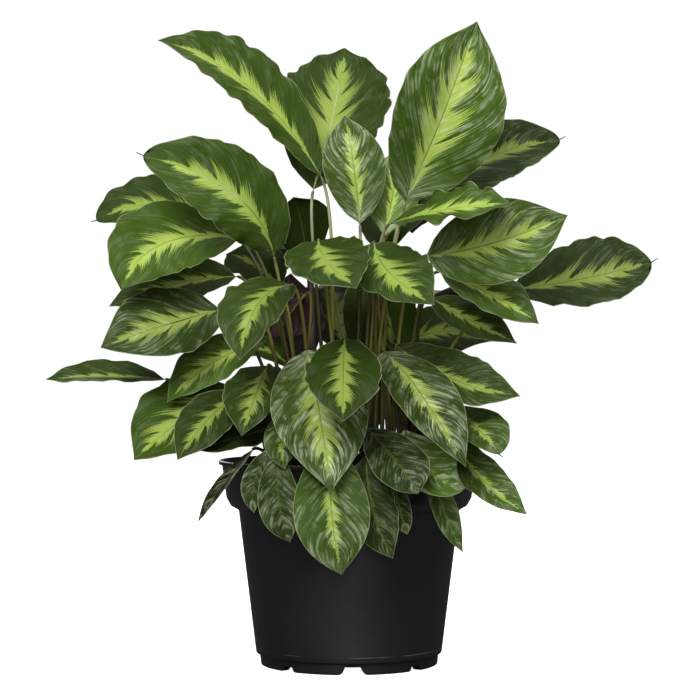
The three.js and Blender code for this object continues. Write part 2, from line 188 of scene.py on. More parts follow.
class CalatheaLeafSettings(bpy.types.PropertyGroup):
    """Sizes and colours of the leaves"""

    blade_thickness: length_setting("Blade thickness", "Thickness of a blade between its veins", 0.5)
    stalk_radius: length_setting("Stalk radius", "Radius of a stalk where it leaves the soil", 2.0)
    sheath_radius: length_setting("Sheath radius", "Radius of a stalk that is still in its sheath", 3.6)
    vein_spacing: length_setting("Vein spacing", "Distance between side veins along the midrib", 7.0)
    vein_relief: length_setting("Vein relief", "How far the blade puffs up between two side veins", 0.4)
    ripple_length: length_setting("Ripple length", "Length of a wave along the margin", 25.0)
    lime: colour_setting("Lime", "Feathers along the midrib", 166, 188, 86)
    lime_shade: colour_setting("Lime shade", "Ends of the feathers, over the dark part", 104, 132, 44)
    dark: colour_setting("Dark green", "Dark part of the upper face", 51, 72, 15)
    dark_tint: colour_setting("Dark tint", "Lighter streaks in the dark part", 71, 94, 28)
    # Painted sheen: a highlight painted in strokes along the veins, where the blade's gloss would catch the
    # light.
    painted_sheen: colour_setting("Bloom", "Silvery streaks along the veins", 176, 190, 152)
    # Painted sheen on the lime: whitish painted highlights in the lime of a shiny blade.
    pale: colour_setting("Pale veins", "Whitish streaks in the lime of a shiny blade", 232, 240, 196)
    margin: colour_setting("Margin", "Thin line along the blade's edge", 172, 186, 138)
    underside: colour_setting("Underside", "Lower face of a blade", 98, 64, 70)
    underside_vein: colour_setting("Underside veins", "Veins of the lower face", 126, 108, 88)
    stalk: colour_setting("Stalk", "Lower part of a stalk", 156, 150, 64)
    # Colour of an old stalk, also used as painted shade at the foot of every stalk.
    stalk_foot: colour_setting("Stalk foot", "Shaded foot of a stalk, or an old stalk", 48, 54, 22)
    stalk_top: colour_setting("Stalk top", "Pale part of a high stalk", 186, 198, 150)
    sheath: colour_setting("Sheath", "Sheath round a young leaf's stalk", 62, 44, 40)


class CalatheaPotSettings(bpy.types.PropertyGroup):
    """Colours of the pot"""

    plastic: colour_setting("Plastic", "Black plastic of the pot", 12, 12, 13)
    # Real scuffs and dust, and also the colour of the painted highlight line near the foot.
    scuff_and_highlight: colour_setting("Scuffs", "Rubbed places and dust on the plastic", 92, 92, 90)


class CalatheaSoilSettings(bpy.types.PropertyGroup):
    """Colours and lumps of the potting soil"""

    peat: colour_setting("Peat", "Dark base of the soil", 44, 30, 21)
    fibre: colour_setting("Fibre", "Lighter bits in the soil", 108, 76, 50)
    lump_height: length_setting("Lump height", "Height of the soil's lumps", 3.0)
    crumbs: bpy.props.IntProperty(
        name="Crumbs", description="Number of loose crumbs on the soil", default=620, min=0, max=2000
    )


class CalatheaStageSettings(bpy.types.PropertyGroup):
    """Camera, floor and lights"""

    camera_distance: length_setting("Camera distance", "From the pot's axis to the camera", 1608.0)
    camera_height: length_setting("Camera height", "Height of the camera over the floor", 229.5)
    lens: bpy.props.FloatProperty(
        name="Lens", description="Focal length", default=114.0, min=1.0, unit="CAMERA"
    )
    floor_colour: colour_setting("Floor", "Pale studio floor", 245, 245, 245)
    floor_shade: colour_setting("Floor shade", "The floor, as the plant reflects it", 80, 80, 80)
    key_power: bpy.props.FloatProperty(
        name="Key light",
        description="Power of the large light in front",
        default=26.0,
        min=0.0,
        unit="POWER",
    )


# ---------------------------------------------------------------- shader helpers


class Value:
    """What a socket gives. Arithmetic on it adds Math nodes."""

    def __init__(self, shader, socket):
        self.shader, self.socket = shader, socket

    def __add__(self, other):
        return self.shader.math("ADD", self, other)

    def __sub__(self, other):
        return self.shader.math("SUBTRACT", self, other)

    def __rsub__(self, other):
        return self.shader.math("SUBTRACT", other, self)

    def __mul__(self, other):
        return self.shader.math("MULTIPLY", self, other)

    def __truediv__(self, other):
        return self.shader.math("DIVIDE", self, other)

    def __rtruediv__(self, other):
        return self.shader.math("DIVIDE", other, self)

    def __pow__(self, other):
        return self.shader.math("POWER", self, other)

    def __abs__(self):
        return self.shader.math("ABSOLUTE", self)


class Shader:
    """Adds nodes to one node tree and joins them."""

    def __init__(self, tree):
        self.tree = tree

    def add(self, kind, inputs=None, **settings):
        node = self.tree.nodes.new("ShaderNode" + kind)
        for name, value in settings.items():
            setattr(node, name, value)
        for socket, value in (inputs or {}).items():
            self.feed(node.inputs[socket], value)
        return node

    def value(self, kind, inputs=None, output=0, **settings):
        """What one output of a new node gives."""
        return Value(self, self.add(kind, inputs, **settings).outputs[output])

    def values(self, node):
        return {socket.name: Value(self, socket) for socket in node.outputs}

    def feed(self, socket, value):
        if isinstance(value, Value):
            self.tree.links.new(value.socket, socket)
        elif socket.type == "RGBA" and len(value) == 3:
            socket.default_value = (*value, 1.0)
        else:
            socket.default_value = value

    def math(self, operation, a, b=0.0, clamp=False):
        return self.value("Math", {0: a, 1: b}, operation=operation, use_clamp=clamp)

    def larger(self, a, b):
        return self.math("MAXIMUM", a, b)

    def mix(self, factor, a, b, blend="MIX"):
        node = self.add("Mix", data_type="RGBA", blend_type=blend, clamp_factor=True)
        for socket, value in ((0, factor), (6, a), (7, b)):
            self.feed(node.inputs[socket], value)
        return Value(self, node.outputs[2])

    def scaled(self, colour, factor):
        return self.mix(1.0, colour, self.join(factor, factor, factor), "MULTIPLY")

    def ramp(self, value, low, high, to_low=0.0, to_high=1.0, smooth=True):
        inputs = {0: value, 1: low, 2: high, 3: to_low, 4: to_high}
        kind = "SMOOTHSTEP" if smooth else "LINEAR"
        return self.value("MapRange", inputs, interpolation_type=kind)

    def faded(self, value, low, high):
        """1 below low, falling smoothly to 0 at high."""
        return 1.0 - self.ramp(value, low, high)

    def curve(self, value, points):
        node = self.add("FloatCurve", {"Value": value})
        line = node.mapping.curves[0]
        while len(line.points) < len(points):
            line.points.new(0.5, 0.5)
        for point, place in zip(line.points, points):
            point.location = place
        node.mapping.update()
        return Value(self, node.outputs[0])

    def join(self, x, y, z=0.0):
        return self.value("CombineXYZ", {0: x, 1: y, 2: z})

    def split(self, vector):
        return list(self.values(self.add("SeparateXYZ", {0: vector})).values())

    def noise(self, vector, scale=1.0, detail=2.0, roughness=0.5, distortion=0.0):
        inputs = {
            "Vector": vector,
            "Scale": scale,
            "Detail": detail,
            "Roughness": roughness,
            "Distortion": distortion,
        }
        return self.value("TexNoise", inputs)

    def chance(self, number, own):
        """The same random value from 0 to 1 wherever both inputs are the same."""
        return self.value("TexWhiteNoise", {0: self.join(number, own)}, noise_dimensions="2D")

    def attribute(self, name, output="Vector"):
        return self.value("Attribute", output=output, attribute_name=name)

    def place(self):
        return self.value("TexCoord", output="Object")

    def camera_ray(self):
        """1 where the camera sees the surface directly, and 0 in its light and reflections."""
        return self.value("LightPath", output="Is Camera Ray")

    def bump(self, height, distance):
        return self.value("Bump", {"Height": height, "Distance": distance})

    def group(self, tree, inputs):
        node = self.add("Group")
        node.node_tree = tree
        for name, value in inputs.items():
            self.feed(node.inputs[name], value)
        return self.values(node)


def new_group(name, number, outputs):
    """A node group that takes a blade's coordinates, its seed and one more number.

    Returns its Shader, what its inputs give and a function that feeds one of its outputs.
    """
    tree = bpy.data.node_groups.new(name, "ShaderNodeTree")
    inputs = {"Blade": "Vector", "Span": "Vector", "Seed": "Float", number: "Float"}
    for in_out, sockets in (("INPUT", inputs), ("OUTPUT", dict.fromkeys(outputs, "Float"))):
        for label, kind in sockets.items():
            tree.interface.new_socket(label, in_out=in_out, socket_type="NodeSocket" + kind)
    shader = Shader(tree)
    given = shader.values(tree.nodes.new("NodeGroupInput"))
    made = tree.nodes.new("NodeGroupOutput").inputs
    return shader, given, lambda label, value: shader.feed(made[label], value)


def new_material(name, **principled):
    """A material with one Principled shader: (material, Shader, a function that feeds a socket)."""
    material = bpy.data.materials.new(name)
    material.use_nodes = True
    surface = material.node_tree.nodes["Principled BSDF"]
    shader = Shader(material.node_tree)
    for label, value in principled.items():
        surface.inputs[label.replace("_", " ")].default_value = value
    return material, shader, lambda label, value: shader.feed(surface.inputs[label], value)


# ---------------------------------------------------------------- leaf materials

# Lengths are in millimetres, and shares of a blade's length and half width run from 0 to 1.
LEAF_MATERIALS = ("Blade upper face", "Blade lower face", "Leaf stalk")
LOBES = 6.0  # lime lobes on each side of a midrib
SIDE_SHIFT = 0.43  # the lobes of one side start this share of a lobe after the other's
SIDE_SEED = 31.7  # keeps the chances of a blade's two sides apart
LOBE_WANDER, WANDER_WAVES = 0.8, 5.0  # lobes that noise shifts them by, and its waves along a blade
LOBE_SPREAD, LOBE_LEAST = 0.4, 0.75  # what chance adds to a lobe's reach, and its least
# How far the lobes reach from the base to the tip, and one lobe from its base side to its tip side.
REACH_CURVE = (
    (0.0, 0.0), (0.05, 0.14), (0.13, 0.48), (0.26, 0.84), (0.42, 1.0),
    (0.6, 0.92), (0.72, 0.72), (0.82, 0.44), (0.9, 0.16), (0.94, 0.0), (1.0, 0.0),
)
LOBE_CURVE = (
    (0.0, 0.18), (0.12, 0.5), (0.35, 0.8), (0.6, 0.96),
    (0.78, 1.0), (0.88, 0.78), (0.95, 0.3), (1.0, 0.18),
)
TOOTH = 2.2  # along the midrib from one tooth of a feather to the next
TOOTH_JITTER, JITTER_WAVE = 2.0, 4.0  # teeth that noise shifts them by, and the length of its waves
TOOTH_POINT = 1.1  # over 1, so that a tooth's sides are hollow
TOOTH_SPREAD, TOOTH_LEAST = 0.6, 0.4  # what chance adds to a tooth's size, and its least
TEETH_DEPTH, TEETH_ROOT = 0.95, 0.45  # what a tooth adds to its lobe, and the lobe's whole part
HAIR, FRAY = 0.7, 0.25  # width of the finest hairs, and how far they move a tooth's end
STREAK = 1.5  # width of a fine streak along the veins
STRAND_STRETCH = 30.0  # hairs and streaks stay alike over this distance out from the midrib
SEAM = 0.012  # the lime's least half width along the midrib
LIME_EDGE = (-0.008, 0.012)  # the lime fades out between these
DEPTH_MARGIN = 0.04  # keeps the depth from its full value at the feathers' ends
MIDRIB_BASE, MIDRIB_TIP = 0.8, 0.25  # half width of the midrib's line
MARGIN_LINE = (0.2, 0.55)  # the pale line fades out between these distances from the margin


def strands(shader, thickness, vein, width, own):
    """Noise in strands of this thickness along the side veins."""
    place = shader.join(vein / thickness, width / STRAND_STRETCH, own)
    return shader.noise(place, 1.0, 2.0, 0.6)


def feather_group():
    """Lime feathers, vein streaks, midrib and margin of a blade, from its own coordinates."""
    outputs = ("Lime", "Depth", "Streaks", "Midrib", "Margin")
    shader, given, give = new_group("Calathea feathers", "Reach", outputs)
    side, along, share = shader.split(given["Blade"])
    across, vein, _ = shader.split(given["Span"])
    q = abs(side)
    width = abs(across)
    right = shader.math("GREATER_THAN", side, 0.0)
    own = right * SIDE_SEED + given["Seed"]

    wander = shader.noise(shader.join(along * WANDER_WAVES, own), 1.0, 1.0)
    lobes = along * LOBES + wander * LOBE_WANDER
    lobes += right * SIDE_SHIFT + given["Seed"]
    strength = shader.chance(shader.math("FLOOR", lobes), own)
    strength = strength * LOBE_SPREAD + LOBE_LEAST
    reach = shader.curve(along, REACH_CURVE) * strength
    reach *= shader.curve(shader.math("FRACT", lobes), LOBE_CURVE)
    reach *= given["Reach"]

    jitter = shader.noise(shader.join(vein / JITTER_WAVE, own), 1.0, 1.0)
    comb = jitter * TOOTH_JITTER + vein / TOOTH
    spike = shader.math("PINGPONG", comb, 0.5) * 2.0
    size = shader.chance(shader.math("FLOOR", comb), own)
    size = size * TOOTH_SPREAD + TOOTH_LEAST
    teeth = spike**TOOTH_POINT * size
    teeth = teeth * TEETH_DEPTH + TEETH_ROOT
    hairs = strands(shader, HAIR, vein, width, own)
    teeth += shader.ramp(hairs, 0.25, 0.75, -FRAY, FRAY, smooth=False)
    gap = reach * teeth + SEAM - q
    give("Lime", shader.ramp(gap, *LIME_EDGE))
    give("Depth", shader.math("DIVIDE", q, reach + DEPTH_MARGIN, clamp=True))

    give("Streaks", shader.ramp(strands(shader, STREAK, vein, width, own), 0.3, 0.7))
    rib = shader.ramp(share, 0.0, 1.0, MIDRIB_BASE, MIDRIB_TIP)
    give("Midrib", shader.faded(width / rib, 0.5, 1.0))
    beyond = 1.0 / shader.larger(q, 0.05) - 1.0
    give("Margin", shader.faded(width * beyond, *MARGIN_LINE))
    return shader.tree


QUILT_SEED = 7.3  # keeps the veins of a blade's two sides apart
VEIN_WOBBLE, WOBBLE_WAVE = 2.4, 9.0  # veins that noise shifts them by, and the length of its waves
WRINKLES = 4.0  # fine wrinkles to one side vein
GRAIN_STRETCH = 5.0  # how much longer the grain is out from the midrib than along it
RIDGE_HEIGHT, WRINKLE_HEIGHT, GRAIN_HEIGHT = 0.2, 0.03, 0.12
RIDGE_START = 0.25  # the ridges have their full height from this share of the half width on
GROOVE_WIDTH, GROOVE_DEPTH = 1.3, 0.35  # the midrib's groove


def quilt_group():
    """Height in millimetres of a blade's fine relief: side veins, wrinkles and midrib's groove."""
    shader, given, give = new_group("Calathea quilting", "Spacing", ("Height", "Ridge"))
    side = shader.split(given["Blade"])[0]
    across, vein, _ = shader.split(given["Span"])
    width = abs(across)
    right = shader.math("GREATER_THAN", side, 0.0)
    own = right * QUILT_SEED + given["Seed"]
    wobble = shader.noise(shader.join(vein / WOBBLE_WAVE, own), 1.0, 1.0)
    turn = (wobble * VEIN_WOBBLE + vein / given["Spacing"]) * math.pi
    ridge = shader.math("SINE", turn) ** 2.0
    fine = abs(shader.math("SINE", turn * WRINKLES))
    grain = shader.join(vein, width / GRAIN_STRETCH, given["Seed"])
    grain = shader.noise(grain, 0.9, 3.0)
    spread = shader.ramp(abs(side), 0.0, RIDGE_START)
    height = ridge * (spread * RIDGE_HEIGHT)
    height += fine * WRINKLE_HEIGHT
    height += grain * GRAIN_HEIGHT
    groove = shader.ramp(width, 0.0, GROOVE_WIDTH)
    give("Height", height + groove * GROOVE_DEPTH)
    give("Ridge", ridge)
    return shader.tree


CLOUD_SCALE, PATCH_SCALE = 0.045, 0.07  # of soft clouds and the patches of painted sheen, for each millimetre
LIME_FADE, LIME_STREAKS = 0.7, 0.28  # how much shade the lime takes at its ends and in its streaks
DARK_STREAKS, DARK_CLOUDS = 0.35, 0.4  # how much tint the dark part takes
LIME_TONE_AND_SHADE = 0.6  # power of a leaf's tone, with its painted light and shade, in its lime, which varies less than the dark part
STROKE, STROKE_WAVES = 0.8, 1.7  # width of a stroke of painted sheen, and its waves from midrib to margin
BARE_STROKES, PATCH_STROKES = 0.35, 0.65  # strength of the strokes anywhere, and what patches add
STROKE_SHEEN, FOLD_SHEEN = 0.85, 0.5  # painted sheen of the strokes, and painted highlight on the puffs between side veins
SHINE_POWER = 1.5  # over 1, so that the painted sheen nearly goes from a dull blade
SHEEN_BASE, SHEEN_TIP = 0.45, 1.05  # share of the painted sheen near the blade's base and near its tip
BASE_SHEEN_STRENGTH = 0.85  # painted sheen in whitish strokes near the base of a shiny blade
LIME_SHEEN = 0.7  # share of the painted sheen that shows on the lime
MIDRIB_STRENGTH, MARGIN_STRENGTH = 0.8, 0.45
UNDERSIDE_REACH = 0.5  # the feathers show through on the lower face, this far out


def blade_inputs(shader, feathering, quilting, spacing, reach):
    """A blade's own coordinates, its pattern and its relief in one material."""
    blade, span = shader.attribute("blade"), shader.attribute("span")
    seed = shader.attribute("seed", "Fac")
    own = {"Blade": blade, "Span": span, "Seed": seed}
    pattern = shader.group(feathering, {**own, "Reach": reach})
    relief = shader.group(quilting, {**own, "Spacing": spacing})
    return blade, span, seed, pattern, relief


def painted_sheen_strokes(shader, blade, span, seed, shine, ridge):
    """How much painted sheen a place on a blade takes, from 0 to 1: painted highlights in strokes along the
    veins, in patches, on the puffs between side veins and near the base.
    """
    side, _, share = shader.split(blade)
    vein = shader.split(span)[1]
    strokes = shader.join(vein / STROKE, abs(side) * STROKE_WAVES, seed)
    strokes = shader.noise(strokes, 1.0, 4.0, 0.7)
    patches = shader.ramp(shader.noise(span, PATCH_SCALE, 2.0, 0.6, 0.6), 0.42, 0.62)
    cover = patches * PATCH_STROKES + BARE_STROKES
    sheen = shader.ramp(strokes, 0.49, 0.7) * cover
    # Painted highlights on the puffs between side veins, where they would catch the light.
    puff_highlights = ridge * patches
    sheen = puff_highlights * FOLD_SHEEN + sheen * STROKE_SHEEN
    amount = shader.ramp(share, 0.15, 0.8, SHEEN_BASE, SHEEN_TIP)
    amount = shine**SHINE_POWER * amount
    # Whitish painted sheen in strokes near the blade's base.
    young = shader.ramp(share, 0.04, 0.3, 1.0, 0.0) * shader.ramp(strokes, 0.4, 0.65)
    base_sheen_amount = shine * shine * BASE_SHEEN_STRENGTH
    sheen = shader.math("MULTIPLY", sheen, amount, clamp=True)
    young = shader.math("MULTIPLY", young, base_sheen_amount, clamp=True)
    return shader.larger(sheen, young)


def upper_face(settings, feathering, quilting):
    material, shader, feed = new_material(LEAF_MATERIALS[0], Specular_IOR_Level=0.06)
    spacing = settings.vein_spacing / MM
    reach, tone_and_shade, shine = shader.split(shader.attribute("look"))
    blade, span, seed, pattern, relief = blade_inputs(shader, feathering, quilting, spacing, reach)
    share = shader.split(blade)[2]
    cloud = shader.noise(span, CLOUD_SCALE, 2.0)
    depth = pattern["Depth"] ** 2.0 * LIME_FADE
    lime = shader.mix(depth, settings.lime, settings.lime_shade)
    lime = shader.mix(pattern["Streaks"] * LIME_STREAKS, lime, settings.lime_shade)
    dark = pattern["Streaks"] * DARK_STREAKS
    dark = shader.mix(dark, settings.dark, settings.dark_tint)
    dark = shader.mix(cloud * DARK_CLOUDS, dark, settings.dark_tint)
    lime_tone_and_shade = tone_and_shade**LIME_TONE_AND_SHADE
    # A leaf's tone is partly its own and partly painted light and shade: higher on lit leaves, lower on
    # shaded ones.
    dark = shader.scaled(dark, tone_and_shade)
    lime = shader.scaled(lime, lime_tone_and_shade)
    # Painted sheen: highlights painted into the colour, on the dark part and more weakly on the lime.
    sheen = painted_sheen_strokes(shader, blade, span, seed, shine, relief["Ridge"])
    dark = shader.mix(sheen, dark, settings.painted_sheen)
    lime = shader.mix(sheen * LIME_SHEEN, lime, settings.pale)
    feathers = pattern["Lime"] * shader.ramp(reach, 0.02, 0.3)
    colour = shader.mix(feathers, dark, lime)
    rib = shader.mix(feathers, settings.dark_tint, settings.lime_shade)
    rib = shader.mix(shader.ramp(share, 0.0, 0.3, 0.8, 0.0), rib, settings.lime)
    rib = shader.scaled(rib, lime_tone_and_shade)
    colour = shader.mix(pattern["Midrib"] * MIDRIB_STRENGTH, colour, rib)
    colour = shader.mix(pattern["Margin"] * MARGIN_STRENGTH, colour, settings.margin)
    feed("Base Color", colour)
    feed("Roughness", cloud * 0.12 + shine * -0.08 + 0.42)
    height = relief["Height"] * (shine * 0.7 + 0.15)
    feed("Normal", shader.bump(height, MM))
    return material


def lower_face(settings, feathering, quilting):
    material, shader, feed = new_material(LEAF_MATERIALS[1], Specular_IOR_Level=0.35)
    spacing = settings.vein_spacing / MM
    pattern, relief = blade_inputs(shader, feathering, quilting, spacing, UNDERSIDE_REACH)[3:]
    veins = shader.faded(relief["Ridge"], 0.05, 0.3) * 0.6
    lime = pattern["Lime"] * 0.25
    colour = shader.mix(lime, settings.underside, settings.lime_shade)
    colour = shader.mix(veins, colour, settings.underside_vein)
    colour = shader.mix(pattern["Margin"], colour, settings.underside_vein)
    # The leaf's tone, partly painted light and shade, darkens its lower face as well, but never lightens it.
    tone_and_shade = shader.split(shader.attribute("look"))[1]
    feed("Base Color", shader.scaled(colour, shader.math("MINIMUM", tone_and_shade, 1.0)))
    feed("Roughness", shader.ramp(pattern["Streaks"], 0.0, 1.0, 0.5, 0.62))
    feed("Normal", shader.bump(relief["Height"], -MM))
    return material


PALE_HEIGHTS = (0.27, 0.34)  # a stalk turns pale between these heights, in metres,
SHADED_HEIGHTS = (0.15, 0.235)  # and the painted shade at its foot ends between these
OLD_SEED = 3.0  # of the chance that a stalk is old
JOINT = (0.86, 0.95)  # the brown joint under the blade starts between these shares of the stalk
JOINT_BROWN, LINE_BROWN = 0.7, 0.5  # how brown the joint and the fine lines of a stalk are


def stalk_surface(settings):
    material, shader, feed = new_material(LEAF_MATERIALS[2], Specular_IOR_Level=0.4)
    height = shader.split(shader.place())[2]
    round_, rise, young = shader.split(shader.attribute("blade"))
    seed = shader.attribute("seed", "Fac")
    lines = shader.join(round_ * 9.0, rise * 3.0, seed)
    lines = shader.noise(lines, 1.0, 3.0)
    pale = shader.ramp(height, *PALE_HEIGHTS) * shader.ramp(lines, 0.2, 0.55)
    old = shader.ramp(shader.chance(seed, OLD_SEED), 0.2, 0.7, 0.1, 0.9)
    # Painted shade: every stalk is darkened near the soil with the colour of an old stalk.
    low = shader.ramp(height, *SHADED_HEIGHTS, 1.0, 0.0)
    colour = shader.mix(shader.larger(old, low), settings.stalk, settings.stalk_foot)
    colour = shader.mix(pale, colour, settings.stalk_top)
    joint = shader.ramp(rise, *JOINT) * JOINT_BROWN
    brown = shader.larger(joint, shader.ramp(lines, 0.4, 0.8) * LINE_BROWN)
    colour = shader.mix(brown, colour, settings.sheath)
    colour = shader.mix(young, colour, settings.sheath)
    feed("Base Color", colour)
    feed("Roughness", shader.ramp(lines, 0.0, 1.0, 0.38, 0.55))
    feed("Normal", shader.bump(lines, 0.25 * MM))
    return material


def leaf_materials(settings):
    """Materials of a blade's upper and lower faces and of a stalk, in the order of their slots."""
    made = [bpy.data.materials.get(name) for name in LEAF_MATERIALS]
    if None in made:
        feathering, quilting = feather_group(), quilt_group()
        upper = upper_face(settings, feathering, quilting)
        made = [upper, lower_face(settings, feathering, quilting), stalk_surface(settings)]
    return made


# ---------------------------------------------------------------- leaf shapes

UPPER, LOWER, STALK = 0, 1, 2  # material slots of a leaf
MERGE = 1e-6  # vertices this close to each other, in metres, become one
ROW_LENGTH, LEAST_ROWS = 1.6, 24  # length of blade to one row of faces
COLUMNS = 22
STALK_SIDES, STALK_ROWS, RIB_ROWS = 8, 30, 18
THREAD_SIDES, THREAD_ROWS = 6, 6

VEIN_SLANT = 0.95  # side veins go this far along for each step out from the midrib,
VEIN_BEND = 0.35  # and bend further towards the tip near the margin
EASE_BASE, EASE_TIP = 0.16, 0.34  # shares of the length over which the slant grows and fades
RIPPLE = (0.026, 0.042)  # least and greatest height of the margin's waves, as shares of the width
RIPPLE_DULL, RIPPLE_SHINY = 1.25, 0.85  # a dull blade's share of that, and what a shine takes off
FRILL = 2.4  # how much higher the waves of a frilled margin are
SLOW_HEIGHT, FAST_HEIGHT, FAST_WAVES = 0.65, 0.4, 1.57  # the two waves that are added up
RIPPLE_POWER, CALM_POWER = 2.3, 0.6  # where the waves start from the midrib, and from the two ends
DENT, DENT_SHINE = 0.09, 0.9  # depth of dents in the outline, and the shine that ends them
DENT_WAVES, DENT_MEAN = 0.85, 0.6  # dents to half a ripple, and their mean depth
DENT_NOISE = 7.0  # length of the noise that is added to the dents
LEAST_HALF_WIDTH = 0.15  # a blade's two ends keep this
CHANNEL = 0.1  # share of the half width over which the two halves meet in a round channel
RISE_START, RISE_LOSS = 1.12, 0.3  # the halves rise steeply at first, and less near the margin
SWELL, SWELL_MIDRIB = 0.05, 0.3  # large soft bumps, as a share of the width, and less at the midrib
SWELL_NOISE = (1.3, 2.6, 3.7)  # how quickly they change across, along and with the seed
PUFF_DULL, PUFF_SHINY = 0.15, 0.6  # a dull blade's share of the vein relief, and what shine adds
PUFF_START = 0.3  # share of the half width at which the puffs are full
# Noise shifts the puffs along and changes their height: how much, then its length and its seed.
PUFF_WANDER, WANDER_NOISE = 1.4, (11, 1.9)
PUFF_SPREAD, SPREAD_NOISE = 1.2, (24, 4.3)
SWAY = 0.006  # greatest bow of the midrib out of its arc, as a share of the length

SHEATH_TAPER = 0.35  # share of its radius that a sheathed stalk loses to its top
STALK_END, STALK_SWELL, STALK_POWER = 0.58, 0.42, 2.2  # a stalk's radius at its top, and below
RIB_SHARE = 0.97  # the rib under a blade ends at this share of its length,
RIB_END, RIB_POWER = 0.22, 0.7  # with this radius
RIB_SINK, SINK_RATE = 0.3, 9  # it lies this far under the upper face, soon after its start
RIB_LEAD, LEAD_SHARE = 3, 0.02  # and its closed end starts this far back in the stalk
THREAD = 7.0  # length of the dry thread at a blunt tip
THREAD_INSIDE, THREAD_SINK = 0.25, 0.2  # share of it inside the blade, and how far under its face
THREAD_BEND = 0.5  # how far it bends up, as a share of its length
THREAD_RADIUS, THREAD_THINS = 0.55, 0.25  # its first radius, and what it loses to its end
SEED_STEP = 0.37  # from one leaf's seed in its materials to the next's


def bezier(points, share):
    while len(points) > 1:
        points = [a.lerp(b, share) for a, b in zip(points, points[1:])]
    return points[0]


def heading(points, share):
    return bezier([b - a for a, b in zip(points, points[1:])], share).normalized()


class LeafShape:
    """The lines and surface of one leaf in millimetres: its stalk, then its blade."""

    def __init__(self, row, seed):
        root, base, middle, tip, self.width, turn, lift, self.habit = row[:8]
        self.seed = seed
        self.shine = row[-1]
        base, middle, tip = Vector(base), Vector(middle), Vector(tip)
        self.midrib = [base, 2 * middle - (base + tip) / 2, tip]
        self.length = (middle - base).length + (tip - middle).length
        start = Vector((*root, SOIL_ROOT))
        reach = (base - start).length
        up = start + Vector((0, 0, STALK_RISE * reach))
        lead = base - heading(self.midrib, 0) * (STALK_LEAD + STALK_LEAD_SHARE * reach)
        self.stalk = [start, up, lead, base]
        turn, lift = math.radians(turn), math.radians(lift)
        flat = math.cos(lift)
        self.facing = Vector((math.sin(turn) * flat, -math.cos(turn) * flat, math.sin(lift)))
        self.fold = math.radians(STEEP_FOLD if self.habit == FOLDED else FOLD)
        self.taper = 0.0 if self.habit == BLUNT else TIP_TAPER
        dice = random.Random(seed)
        self.phases = [dice.uniform(0, math.tau) for _ in range(6)]
        self.ripple = dice.uniform(*RIPPLE) * self.width * (FRILL if self.habit == FRILLED else 1.0)
        self.ripple *= RIPPLE_DULL - RIPPLE_SHINY * min(1.0, self.shine)
        self.dent = DENT * max(0.0, DENT_SHINE - self.shine)
        self.slant = VEIN_SLANT * self.width / 2 / self.length
        self.sway = dice.uniform(-1.0, 1.0) * SWAY * self.length

    def axes(self, share):
        """Across and out of the blade at this share of its length."""
        along = heading(self.midrib, share)
        across = self.facing.cross(along).normalized()
        return across, along.cross(across)

    def share_of(self, vein, q):
        """The share of the length that a side vein has come to, q of its way to the margin."""
        start = min(1.0, vein / EASE_BASE)
        end = min(1.0, (1 - vein) / EASE_TIP)
        ease = start * (2 - start) * end * (2 - end)
        return vein + self.slant * ease * (q + VEIN_BEND * q * q)

    def half_width(self, share):
        share = min(max(share, 0.0), 1.0)
        fullness = BASE_FULLNESS + self.taper * share**3
        return self.width / 2 * math.sin(math.pi * share**WIDEST_SHIFT) ** fullness

    def bow(self, share):
        """How far the midrib bows out of its arc at this share of its length."""
        return self.sway * math.sin(math.pi * share)

    def uneven(self, vein, first, values):
        """Noise along one side of the blade: values are the length of its waves, and a seed."""
        length, seed = values
        return noise.noise(Vector((vein * self.length / length, first, self.seed * seed)))

    def puff(self, vein, q, first, calm, settings):
        """How far the blade puffs up here between two side veins."""
        turn = vein * self.length / (settings.vein_spacing / MM)
        turn += PUFF_WANDER * self.uneven(vein, first, WANDER_NOISE)
        relief = settings.vein_relief / MM * (PUFF_DULL + PUFF_SHINY * self.shine)
        puff = math.sin(math.pi * turn) ** 2
        puff *= relief * min(1.0, q / PUFF_START) * (1 - q**6) * calm
        return puff * (1 + PUFF_SPREAD * self.uneven(vein, first, SPREAD_NOISE))

    def surface(self, side, vein, settings):
        """A point of the blade's upper face, its share of the length and the half width there."""
        q = abs(side)
        share = min(self.share_of(vein, q), 1.0)
        across, out = self.axes(share)
        along = share * self.length
        first = 0 if side < 0 else 3
        slow, fast, dents = self.phases[first : first + 3]
        wave = math.tau * along / (settings.ripple_length / MM)
        dent = abs(math.sin(wave * DENT_WAVES + dents)) - DENT_MEAN
        dent += noise.noise(Vector((along / DENT_NOISE, first, self.seed)))
        half = max(LEAST_HALF_WIDTH, self.half_width(share) * (1 + self.dent * dent * q**4))
        calm = math.sin(math.pi * share) ** CALM_POWER
        ripple = math.sin(wave + slow) * SLOW_HEIGHT
        ripple += math.sin(wave * FAST_WAVES + fast) * FAST_HEIGHT
        ripple *= self.ripple * calm * q**RIPPLE_POWER
        slope = (math.hypot(q, CHANNEL) - CHANNEL) * (RISE_START - RISE_LOSS * q * q)
        rise = slope * half * math.sin(self.fold)
        place = (side * SWELL_NOISE[0], share * SWELL_NOISE[1], self.seed * SWELL_NOISE[2])
        swell = noise.noise(Vector(place)) * SWELL * self.width * (SWELL_MIDRIB + q)
        lift = rise + ripple + swell * calm + self.puff(vein, q, first, calm, settings)
        centre = bezier(self.midrib, share) + out * (self.bow(share) * (1 - q))
        return centre + across * side * half * math.cos(self.fold) + out * lift, share, half


def bent_grid(bm, columns, rows, place):
    """A grid of faces whose vertices, at (-1 to 1, 0 to 1), are moved by place. Returns them."""
    made = bmesh.ops.create_grid(bm, x_segments=columns, y_segments=rows, size=1)["verts"]
    for vertex in made:
        place(vertex, vertex.co.x, (vertex.co.y + 1) / 2)
    return made


